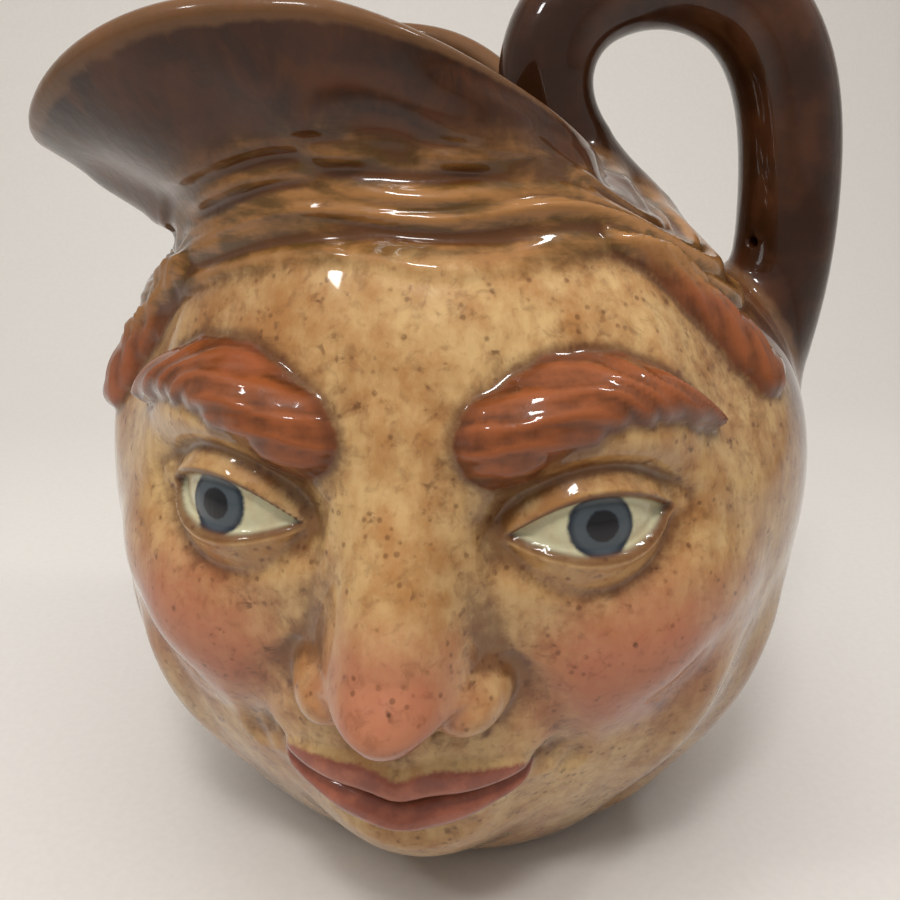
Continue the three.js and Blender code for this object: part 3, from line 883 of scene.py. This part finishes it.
def body_loops(shape):
    """Loops of the vessel from the foot over the rim to the floor inside, with fields."""
    angle = column_angles(shape.columns // 2 * 2)
    height = row_heights(shape.rows)
    wall = shape.wall / MM
    point, out, _ = plain_frame(angle, height)
    hat_line = plain_points(angle, HAT_LINE_RING)[0, :, 2]
    relief, fields = outer_relief(
        *spread(angle, height, point), point[..., 2], hat_line, shape.strand_depth / MM
    )
    outer = point + out * relief[..., None]
    fields["recess"] = recess(relief)
    fields["rim"] = np.linalg.norm(point - point[-1], axis=-1)
    fields["inner"] = np.zeros(relief.shape)
    loops = list(outer)
    kept = {name: list(values) for name, values in fields.items()}

    def add_loop(points, every, rim, inner):
        """Adds a loop over every so many columns, with the fields of the outer edge."""
        loops.append(points)
        for name, values in kept.items():
            values.append(fields[name][-1][::every])
        kept["rim"][-1] = np.zeros(len(points)) + rim
        kept["inner"][-1] = np.zeros(len(points)) + inner
        kept["recess"][-1] = np.zeros(len(points))

    top, top_out, top_up = (grid[0] for grid in plain_frame(angle, np.array([float(TOP)])))
    for k in range(1, RIM_ROWS + 1):
        turn = math.pi * k / (RIM_ROWS + 1)
        bead = top_out * (math.cos(turn) - 1) + top_up * math.sin(turn)
        add_loop(top + bead * wall / 2, 1, 0.0, 0.0)
    inner_angle = angle[::2]
    inner_height = even_steps(
        lambda height: 0.5 + (height > INNER.crowd_from), INNER.low, TOP, INNER.rows
    )[::-1]
    point, out, _ = plain_frame(inner_angle, inner_height)
    follow = inner_relief(*spread(inner_angle, inner_height, point), point[..., 2]) - wall
    below_rim = np.linalg.norm(point - point[0], axis=-1)
    for row, low in zip(point + out * follow[..., None], below_rim):
        add_loop(row, 2, low, np.clip(low / 3, 0, 1))
    return loops, kept


def dished_foot(loops, depth):
    """Loops of the foot underside, from the middle out to its standing edge."""
    dished = []
    for share, sink in FOOT_DISH:
        loop = loops[0] * share
        loop[:, 2] = depth * sink
        dished.append(loop)
    return dished


def handle_curve(count):
    """Centres, radii and directions along the handle."""
    line = np.array(HANDLE_LINE, float)
    position = np.linspace(0, len(line) - 1, count)
    spine = spline_weights(position, len(line)) @ line
    centre = np.stack([spine[:, 0], np.zeros(count), spine[:, 1]], -1)
    along = unit(np.gradient(centre, axis=0))
    sideways = np.array([0.0, 1.0, 0.0])
    return centre, spine[:, 2], np.cross(sideways, along), sideways


def handle_loops(sides=36, sections=104):
    centre, radius, outward, sideways = handle_curve(sections)
    turn = np.linspace(0, 2 * math.pi, sides, endpoint=False)[None, :, None]
    section = np.cos(turn) * outward[:, None] + HANDLE_FLATNESS * np.sin(turn) * sideways
    return list(centre[:, None] + radius[:, None, None] * section)


def vent_tool():
    """A small flared pin that pricks the vent hole into the handle."""
    outward = np.array([math.cos(VENT_TURN), math.sin(VENT_TURN), 0.0])
    sideways = np.array([-outward[1], outward[0], 0.0])
    upward = np.array([0.0, 0.0, 1.0])
    turn = np.linspace(0, 2 * math.pi, VENT_SIDES, endpoint=False)[:, None]
    circle = np.cos(turn) * sideways + np.sin(turn) * upward
    mouth = np.array(VENT_AT)
    loops = [mouth + outward * reach + circle * radius for reach, radius in VENT_PROFILE]
    return loops_to_mesh("vent_tool", loops)


def handle_distance(points):
    """Signed distance to the handle's surface and the direction away from it."""
    centre, radius, _, _ = handle_curve(HANDLE_SAMPLES)
    section = (1.0, HANDLE_FLATNESS, 1.0)
    distance = np.empty(len(points))
    away = np.empty((len(points), 3))
    for start in range(0, len(points), POINTS_AT_ONCE):
        some = slice(start, start + POINTS_AT_ONCE)
        gap = np.linalg.norm(points[some, None] - centre, axis=2) - radius
        nearest = gap.argmin(1)
        offset = (points[some] - centre[nearest]) / section
        distance[some] = np.linalg.norm(offset, axis=1) - radius[nearest]
        away[some] = unit(offset / section + 1e-9)
    return distance, away


def belly_plug(wall):
    """A solid filling the belly to the middle of its wall, to trim the handle's low end."""
    angle = column_angles(PLUG.columns)
    height = np.linspace(PLUG.low, PLUG.high, PLUG.rows)
    point, out, _ = plain_frame(angle, height)
    follow = inner_relief(*spread(angle, height, point), point[..., 2]) - wall / 2
    return loops_to_mesh("belly_plug", list(point + out * follow[..., None]))


def nearest_points(source, targets):
    """For each target the index of the nearest source point and its distance."""
    tree = KDTree(len(source))
    for index, point in enumerate(source):
        tree.insert(point, index)
    tree.balance()
    found = [tree.find(point)[1:] for point in targets]
    return np.array([f[0] for f in found]), np.array([f[1] for f in found])


def flow_together(mesh, body_points, body_normals, handle_points, join):
    """Rounds the seams where the handle meets the body. Returns for each vertex how far it
    stands from the other piece, above zero on the handle and below zero on the body, the
    nearest point of the body, and whether it lies on the body."""
    points = mesh_points(mesh)
    body_near, body_gap = nearest_points(body_points, points)
    on_body = body_gap <= nearest_points(handle_points, points)[1]
    body_out = body_normals[body_near]
    to_body = ((points - body_points[body_near]) * body_out).sum(1)
    to_body = np.where(on_body, 0.0, np.where(body_gap > OFF_BODY, body_gap, to_body))
    to_handle = np.where(on_body, handle_distance(points)[0], 0.0)
    apart = np.abs(to_body - to_handle)
    near = apart < join
    edges = np.empty(len(mesh.edges) * 2, int)
    mesh.edges.foreach_get("vertices", edges)
    edges = edges.reshape(-1, 2)
    moved = points.copy()
    for step in range(FLOW_ROUNDS):
        handle_now, handle_out = handle_distance(moved[near])
        body_now = ((moved - body_points[body_near]) * body_out).sum(1)[near]
        share = np.clip(0.5 + 0.5 * (handle_now - body_now) / join, 0, 1)
        level = mix(handle_now, body_now, share) - join * share * (1 - share)
        slope = mix(handle_out, body_out[near], share[:, None])
        push = level[:, None] * slope / np.maximum((slope**2).sum(1), 0.3)[:, None]
        moved[near] -= push
        if step < FLOW_ROUNDS - 1:
            moved = relaxed(moved, edges, near, 0.5)
    for _ in range(SEAM_SMOOTHING):
        moved = relaxed(moved, edges, apart < join * SEAM_SHARE, 0.5)
    mesh.vertices.foreach_set("co", moved.ravel())
    mesh.update()
    from_other = np.where(on_body, -to_handle, to_body)
    return np.clip(from_other, -FIELD_LIMIT, FIELD_LIMIT), body_near, on_body


def relaxed(points, edges, chosen, share):
    """Moves the chosen points part of the way to the mean of their neighbours."""
    total = np.zeros(points.shape)
    count = np.zeros(len(points))
    for a, b in ((0, 1), (1, 0)):
        np.add.at(total, edges[:, a], points[edges[:, b]])
        np.add.at(count, edges[:, a], 1)
    result = points.copy()
    result[chosen] = mix(points[chosen], total[chosen] / count[chosen, None], share)
    return result


def build_jug_mesh(shape):
    """The whole jug as one closed mesh, with a point attribute for each field."""
    loops, fields = body_loops(shape)
    foot = dished_foot(loops, shape.foot_recess / MM)
    for name, values in fields.items():
        hubs = [values[0].mean(), values[-1].mean()]
        fields[name] = np.concatenate([values[0]] * len(foot) + values + [hubs])
    body = loops_to_mesh("jug_body", foot + loops)
    body_points, body_normals = mesh_points(body), mesh_normals(body)
    handle = loops_to_mesh("jug_handle", handle_loops())
    handle_points = mesh_points(handle)
    pricked = combined("jug_handle", handle, vent_tool(), "DIFFERENCE")
    trimmed = combined("jug_handle", pricked, belly_plug(shape.wall / MM), "DIFFERENCE")
    mesh = combined("jug", body, trimmed, "UNION")
    from_other, body_near, on_body = flow_together(
        mesh, body_points, body_normals, handle_points, shape.join / MM
    )
    fields = {name: values[body_near] for name, values in fields.items()}
    fields["handle"] = from_other
    for name, on_handle in (("recess", 0), ("inner", 0), ("rim", NO_RIM)):
        fields[name] = np.where(on_body, fields[name], on_handle)
    for name, values in fields.items():
        attribute = mesh.attributes.new("jug_" + name, "FLOAT", "POINT")
        attribute.data.foreach_set("value", values.astype(np.float32))
    mesh.vertices.foreach_set("co", (mesh_points(mesh) * MM).ravel())
    mesh.polygons.foreach_set("use_smooth", [True] * len(mesh.polygons))
    mesh.update()
    return mesh


# ---- Shaders ----------------------------------------------------------------------------


class Flow:
    """A socket whose arithmetic adds Math nodes."""

    def __init__(self, tree, socket):
        self.tree = tree
        self.socket = socket

    def _math(self, operation, first, second):
        return node(self.tree, "ShaderNodeMath", {"operation": operation}, {0: first, 1: second})

    def __add__(self, other):
        return self._math("ADD", self, other)

    def __radd__(self, other):
        return self._math("ADD", other, self)

    def __sub__(self, other):
        return self._math("SUBTRACT", self, other)

    def __rsub__(self, other):
        return self._math("SUBTRACT", other, self)

    def __mul__(self, other):
        return self._math("MULTIPLY", self, other)

    def __rmul__(self, other):
        return self._math("MULTIPLY", other, self)

    def __abs__(self):
        return self._math("ABSOLUTE", self, 0.0)


def node(tree, kind, settings=None, inputs=None, output=0):
    """Adds a node: settings first, then socket values or links. Returns one output."""
    made = tree.nodes.new(kind)
    for name, value in (settings or {}).items():
        setattr(made, name, value)
    for key, value in (inputs or {}).items():
        socket = made.inputs[key]
        if isinstance(value, Flow):
            tree.links.new(value.socket, socket)
        elif hasattr(socket.default_value, "__len__") and len(socket.default_value) == 4:
            socket.default_value = (*value, 1.0)
        else:
            socket.default_value = value
    return Flow(tree, made.outputs[output])


class Painter:
    """The few kinds of node that the glazes are painted with."""

    def __init__(self, material):
        self.tree = material.node_tree
        self.place = node(self.tree, "ShaderNodeTexCoord", output="Object")

    def field(self, name):
        return node(self.tree, "ShaderNodeAttribute", {"attribute_name": name}, output="Fac")

    def noise(self, size, detail=3.0, roughness=0.55, stretch=None, distortion=0.0):
        """Cloudy values about 0.5, with features of a size in millimetres."""
        place = self.place
        if stretch:
            place = node(
                self.tree, "ShaderNodeVectorMath", {"operation": "MULTIPLY"},
                {0: self.place, 1: stretch},
            )
        return node(
            self.tree, "ShaderNodeTexNoise", {"noise_dimensions": "3D"},
            {"Vector": place, "Scale": 1 / (size * MM), "Detail": detail,
             "Roughness": roughness, "Distortion": distortion},
        )

    def spots(self, spacing, share):
        """Soft round dots: their spacing in millimetres, and the share of it they fill."""
        distance = node(
            self.tree, "ShaderNodeTexVoronoi", {"feature": "F1"},
            {"Vector": self.place, "Scale": 1 / (spacing * MM)}, output="Distance",
        )
        return self.step(distance, share, share * SPOT_CORE)

    def step(self, value, low, high, strength=1.0):
        """0 at low, the whole strength at high and smooth between."""
        return node(
            self.tree, "ShaderNodeMapRange", {"interpolation_type": "SMOOTHSTEP"},
            {"Value": value, "From Min": low, "From Max": high, "To Max": strength},
        )

    def blend(self, share, first, second):
        settings = {"data_type": "RGBA", "clamp_factor": True}
        return node(
            self.tree, "ShaderNodeMix", settings, {0: share, 6: first, 7: second}, output=2
        )

    def cover(self, name, value):
        """How strongly a wash covers each point."""
        return self.step(value, *WASHES[name])

    def wash(self, name, value, under, over):
        """One colour washed over another where a value lies in the wash's range."""
        return self.blend(self.cover(name, value), under, over)

    def bump(self, height, strength, distance):
        return node(
            self.tree, "ShaderNodeBump", None,
            {"Height": height, "Strength": strength, "Distance": distance * MM},
            output="Normal",
        )


def new_material(name):
    material = bpy.data.materials.new(name)
    material.use_nodes = True
    return material


def shader_inputs(material):
    return material.node_tree.nodes["Principled BSDF"].inputs


def connect(material, socket_name, flow):
    material.node_tree.links.new(flow.socket, shader_inputs(material)[socket_name])


class GlazePainter(Painter):
    """Paints the parts of the jug from brush patterns, their strays from their middle value
    and the fields of the mesh."""

    def __init__(self, material, glaze):
        super().__init__(material)
        self.glaze = glaze
        self.brush = Named(**{name: self.noise(**made) for name, made in PATTERNS.items()})
        self.stray = Named(**{name: getattr(self.brush, name) - 0.5 for name in STRAYING})
        self.at = Named(**{name: self.field("jug_" + name) for name in FIELDS})

    def skin(self):
        """Cream with brushed ochre, rosy cheeks, brown specks, brown wash in hollows, and umber
        painted shade with brown streaks toward the sides and the chin.
        """
        glaze, brush, stray, at = self.glaze, self.brush, self.stray, self.at
        blotches = brush.cloud * 0.6 + brush.mottle * 0.4
        colour = self.wash("ochre clouds", blotches, glaze.flesh, glaze.ochre)
        colour = self.wash("ochre strokes", brush.streaks, colour, glaze.ochre)
        rosy = at.blush * (0.6 + brush.mottle * 0.7)
        colour = self.wash("rose", rosy, colour, glaze.blush)
        for name, value in (
            ("brown dabs", brush.dabs),
            ("hollows", at.recess + stray.mottle * 2.0 + stray.dabs * 1.4),
            # Painted shade in umber toward the sides and low on the jaw, mixed with brown
            # streaks.
            ("painted shade and streaks", at.side + stray.streaks * 60 + (50 - at.level) * 0.35),
        ):
            colour = self.wash(name, value, colour, glaze.umber)
        fine = self.spots(*FINE_SPECKS) * self.cover("fine specks", brush.mottle)
        coarse = self.spots(*COARSE_SPECKS) * self.cover("coarse specks", brush.dabs)
        return self.blend(fine + coarse, colour, glaze.umber)

    def back(self, colour):
        """Back and sides beyond the locks: cool brown that thins to tan toward the foot."""
        glaze, brush, stray, at = self.glaze, self.brush, self.stray, self.at
        brown = self.wash("amber clouds", brush.cloud, glaze.mauve, glaze.amber)
        brown = self.wash("tan foot", at.level + stray.cloud * 50, brown, glaze.ochre)
        brown = self.wash("brown strokes", brush.streaks, brown, glaze.umber)
        where = at.side + stray.mottle * 18 + (at.level - 80) * 0.12
        return self.wash("back", where, colour, brown)

    def hair(self, colour):
        """Auburn strands with brown between them, and a brown edge all round."""
        glaze, brush, stray, at = self.glaze, self.brush, self.stray, self.at
        edge = at.hair + stray.grain * 0.8
        lit = at.strand + stray.mottle * 2.4 + stray.streaks * 1.5
        tone = self.wash("strands", lit, glaze.umber, glaze.auburn)
        tone = self.wash("rosy strands", brush.cloud, tone, glaze.blush)
        colour = self.wash("hair", edge, colour, tone)
        return self.wash("hair outline", abs(edge + stray.cloud * 3), colour, glaze.umber)

    def lips(self, colour):
        glaze = self.glaze
        tone = self.wash("rosy lips", self.brush.mottle, glaze.lips, glaze.blush)
        tone = self.wash("lip hollows", self.at.recess, tone, glaze.umber)
        return self.wash("lips", self.at.lips + self.stray.grain * 0.9, colour, tone)

    def eyes(self, colour):
        """Painted eyeballs with a ringed iris and a brown lash line round each opening."""
        glaze, at = self.glaze, self.at
        iris = at.iris + self.stray.grain * 0.5
        ball = self.wash("eye tint", self.brush.mottle, glaze.eye_white, glaze.ochre)
        ball = self.wash("iris", iris, ball, glaze.iris)
        ball = self.wash("iris ring", abs(iris - IRIS_RING), ball, IRIS_RING_COLOUR)
        ball = self.wash("pupil", iris, ball, PUPIL_COLOUR)
        colour = self.wash("eye", at.eye, colour, ball)
        return self.wash("lash line", abs(at.eye + LASH_OFFSET), colour, glaze.umber)

    def brim(self, colour):
        """Thick chocolate with cooler clouds and amber streaks, olive at the rolled line."""
        glaze, brush, stray, at = self.glaze, self.brush, self.stray, self.at
        brown = self.wash("brim clouds", brush.cloud, glaze.chocolate, glaze.mauve)
        brown = self.wash("brim amber", brush.fold, brown, glaze.amber)
        lift = brush.bands - at.recess * 0.16
        band = self.wash("hat-line ochre", lift, glaze.olive, glaze.ochre)
        low = at.hat + stray.mottle * 9 + stray.fold * 8
        brown = self.wash("hat-line", low, brown, band)
        brown = self.wash("brim hollows", at.recess + stray.dabs * 0.6, brown, glaze.umber)
        return self.wash("hat", at.hat + stray.mottle * 5, colour, brown)

    def handle(self, colour):
        """Smooth purple brown, thin and tan at the seams."""
        glaze, stray, at = self.glaze, self.stray, self.at
        brown = self.wash("handle clouds", self.brush.cloud, glaze.chocolate, glaze.mauve)
        colour = self.wash("handle", at.handle + stray.mottle * 5, colour, brown)
        seam = abs(at.handle + 1.0) + stray.mottle * 4
        return self.wash("seam", seam, colour, glaze.clay)

    def inside(self, colour):
        """Brown inside the mouth, cream in the belly and thin glaze on the rim."""
        glaze, stray, at = self.glaze, self.stray, self.at
        lining = self.wash("cream", at.rim + stray.cloud * 30, glaze.chocolate, glaze.cream)
        colour = self.blend(at.inner, colour, lining)
        return self.wash("rim", at.rim + stray.mottle * 3.0, colour, glaze.clay)


def glazed_earthenware(glaze):
    material = new_material("glazed_earthenware")
    paint = GlazePainter(material, glaze)
    brush, at = paint.brush, paint.at
    colour = paint.skin()
    for part in (
        paint.back, paint.hair, paint.lips, paint.eyes, paint.brim, paint.handle, paint.inside
    ):
        colour = part(colour)
    bare = paint.cover("bare foot", at.level) * (1 - at.inner)
    connect(material, "Base Color", paint.blend(bare, colour, glaze.clay))
    roughness = glaze.roughness + paint.stray.mottle * 0.2 + bare * BARE_ROUGHNESS
    connect(material, "Roughness", roughness)
    satin = paint.cover("satin", at.hat) * (1 - at.inner)
    connect(material, "Coat Weight", 1 - bare - satin)
    marks = paint.cover("brush marks", brush.streaks)
    surface = brush.ripple + brush.mottle * 0.22 + brush.grain * 0.06 + marks
    connect(material, "Normal", paint.bump(surface, *GLAZE_BUMP))
    for name, value in GLOSS.items():
        shader_inputs(material)[name].default_value = value
    return material


def stage_paper(look):
    material = new_material("stage_paper")
    paint = Painter(material)
    paper = tuple(look.floor)
    shade = tuple(value * PAPER.shade for value in paper)
    fibre = paint.noise(PAPER.fibre)
    connect(material, "Base Color", paint.wash("paper fibre", fibre, paper, shade))
    shader_inputs(material)["Roughness"].default_value = PAPER.roughness
    return material


# ---- Operators --------------------------------------------------------------------------


def show(name, mesh, material):
    piece = bpy.data.objects.new(name, mesh)
    bpy.context.collection.objects.link(piece)
    mesh.materials.clear()
    mesh.materials.append(material)
    return piece


class JUG_OT_body(bpy.types.Operator):
    """Build the jug: head, brim, lip and handle as one fired and glazed piece"""

    bl_idname = "jug.body"
    bl_label = "Build jug"

    def execute(self, context):
        mesh = build_jug_mesh(context.scene.jug_shape)
        piece = show("glazed_jug", mesh, glazed_earthenware(context.scene.jug_glaze))
        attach(piece, "root")
        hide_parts("jug")
        return {"FINISHED"}


def soft_light(name, power):
    """An area light of the stage, aimed at the jug."""
    place, target, (width, height) = LIGHTS[name]
    light = bpy.data.lights.new(name, "AREA")
    light.shape = "RECTANGLE"
    light.size = width * MM
    light.size_y = height * MM
    light.energy = power
    holder = bpy.data.objects.new(name, light)
    holder.location = Vector(place) * MM
    aim = (Vector(target) - Vector(place)).to_track_quat("-Z", "Y")
    holder.rotation_euler = aim.to_euler()
    bpy.context.collection.objects.link(holder)
    return holder


def backdrop_mesh():
    """A floor that curves up into a wall behind the jug."""
    bend, radius = SWEEP.back - SWEEP.radius, SWEEP.radius
    profile = [(SWEEP.front, 0.0), (0.0, 0.0), (bend, 0.0)]
    for k in range(1, SWEEP.steps + 1):
        turn = math.pi / 2 * k / SWEEP.steps
        profile.append((bend + radius * math.sin(turn), radius * (1 - math.cos(turn))))
    profile.append((SWEEP.back, SWEEP.top))
    sides = (-SWEEP.half_width, SWEEP.half_width)
    points = [(x * MM, y * MM, z * MM) for y, z in profile for x in sides]
    faces = [(2 * i, 2 * i + 1, 2 * i + 3, 2 * i + 2) for i in range(len(profile) - 1)]
    mesh = bpy.data.meshes.new("stage_sweep")
    mesh.from_pydata(points, [], faces)
    mesh.polygons.foreach_set("use_smooth", [True] * len(mesh.polygons))
    return mesh


class JUG_OT_stage(bpy.types.Operator):
    """Set the pale floor, the soft studio lights and the camera"""

    bl_idname = "jug.stage"
    bl_label = "Set the stage"

    def execute(self, context):
        look = context.scene.jug_stage
        show("stage_sweep", backdrop_mesh(), stage_paper(look))
        soft_light("overhead", look.overhead).visible_glossy = False
        soft_light("window", look.window)
        for name in ("lamp_left", "lamp_right"):
            soft_light(name, look.window * LAMP_SHARE)
        world = bpy.data.worlds.new("studio_air")
        world.use_nodes = True
        background = world.node_tree.nodes["Background"]
        background.inputs["Color"].default_value = (*AIR_COLOUR, 1.0)
        background.inputs["Strength"].default_value = AIR_STRENGTH
        context.scene.world = world
        context.scene.view_settings.view_transform = "Standard"

        target = Vector(CAMERA_TARGET) * MM
        turn, lift = look.azimuth, look.elevation
        back = Vector(
            (math.sin(turn) * math.cos(lift), -math.cos(turn) * math.cos(lift), math.sin(lift))
        )
        camera = bpy.data.cameras.new("camera")
        camera.sensor_width = CAMERA_SENSOR
        camera.lens = look.lens
        camera.clip_start = CAMERA_CLIP
        holder = bpy.data.objects.new("camera", camera)
        holder.location = target + back * look.distance
        holder.rotation_mode = "QUATERNION"
        holder.rotation_quaternion = (-back).to_track_quat("-Z", "Y")
        bpy.context.collection.objects.link(holder)
        context.scene.camera = holder
        return {"FINISHED"}


class JUG_PT_sidebar(bpy.types.Panel):
    """Lists the sizes, colours and steps of the face jug"""

    bl_idname = "JUG_PT_sidebar"
    bl_label = "Face jug"
    bl_space_type = "VIEW_3D"
    bl_region_type = "UI"
    bl_category = "Face jug"

    def draw(self, context):
        scene = context.scene
        for group, operator in (
            (scene.jug_shape, None),
            (scene.jug_glaze, JUG_OT_body),
            (scene.jug_stage, JUG_OT_stage),
        ):
            box = self.layout.box()
            for name in group.__annotations__:
                box.prop(group, name)
            if operator:
                box.operator(operator.bl_idname)


CLASSES = (JugShape, JugGlaze, StageLook, JUG_OT_body, JUG_OT_stage, JUG_PT_sidebar)
GROUPS = {"jug_shape": JugShape, "jug_glaze": JugGlaze, "jug_stage": StageLook}


def register():
    for item in CLASSES:
        bpy.utils.register_class(item)
    for name, group in GROUPS.items():
        setattr(bpy.types.Scene, name, PointerProperty(type=group))


def unregister():
    for name in GROUPS:
        delattr(bpy.types.Scene, name)
    for item in reversed(CLASSES):
        bpy.utils.unregister_class(item)


def main():
    register()
    bpy.ops.jug.body()
    bpy.ops.jug.stage()


if __name__ == "__main__":
    main()
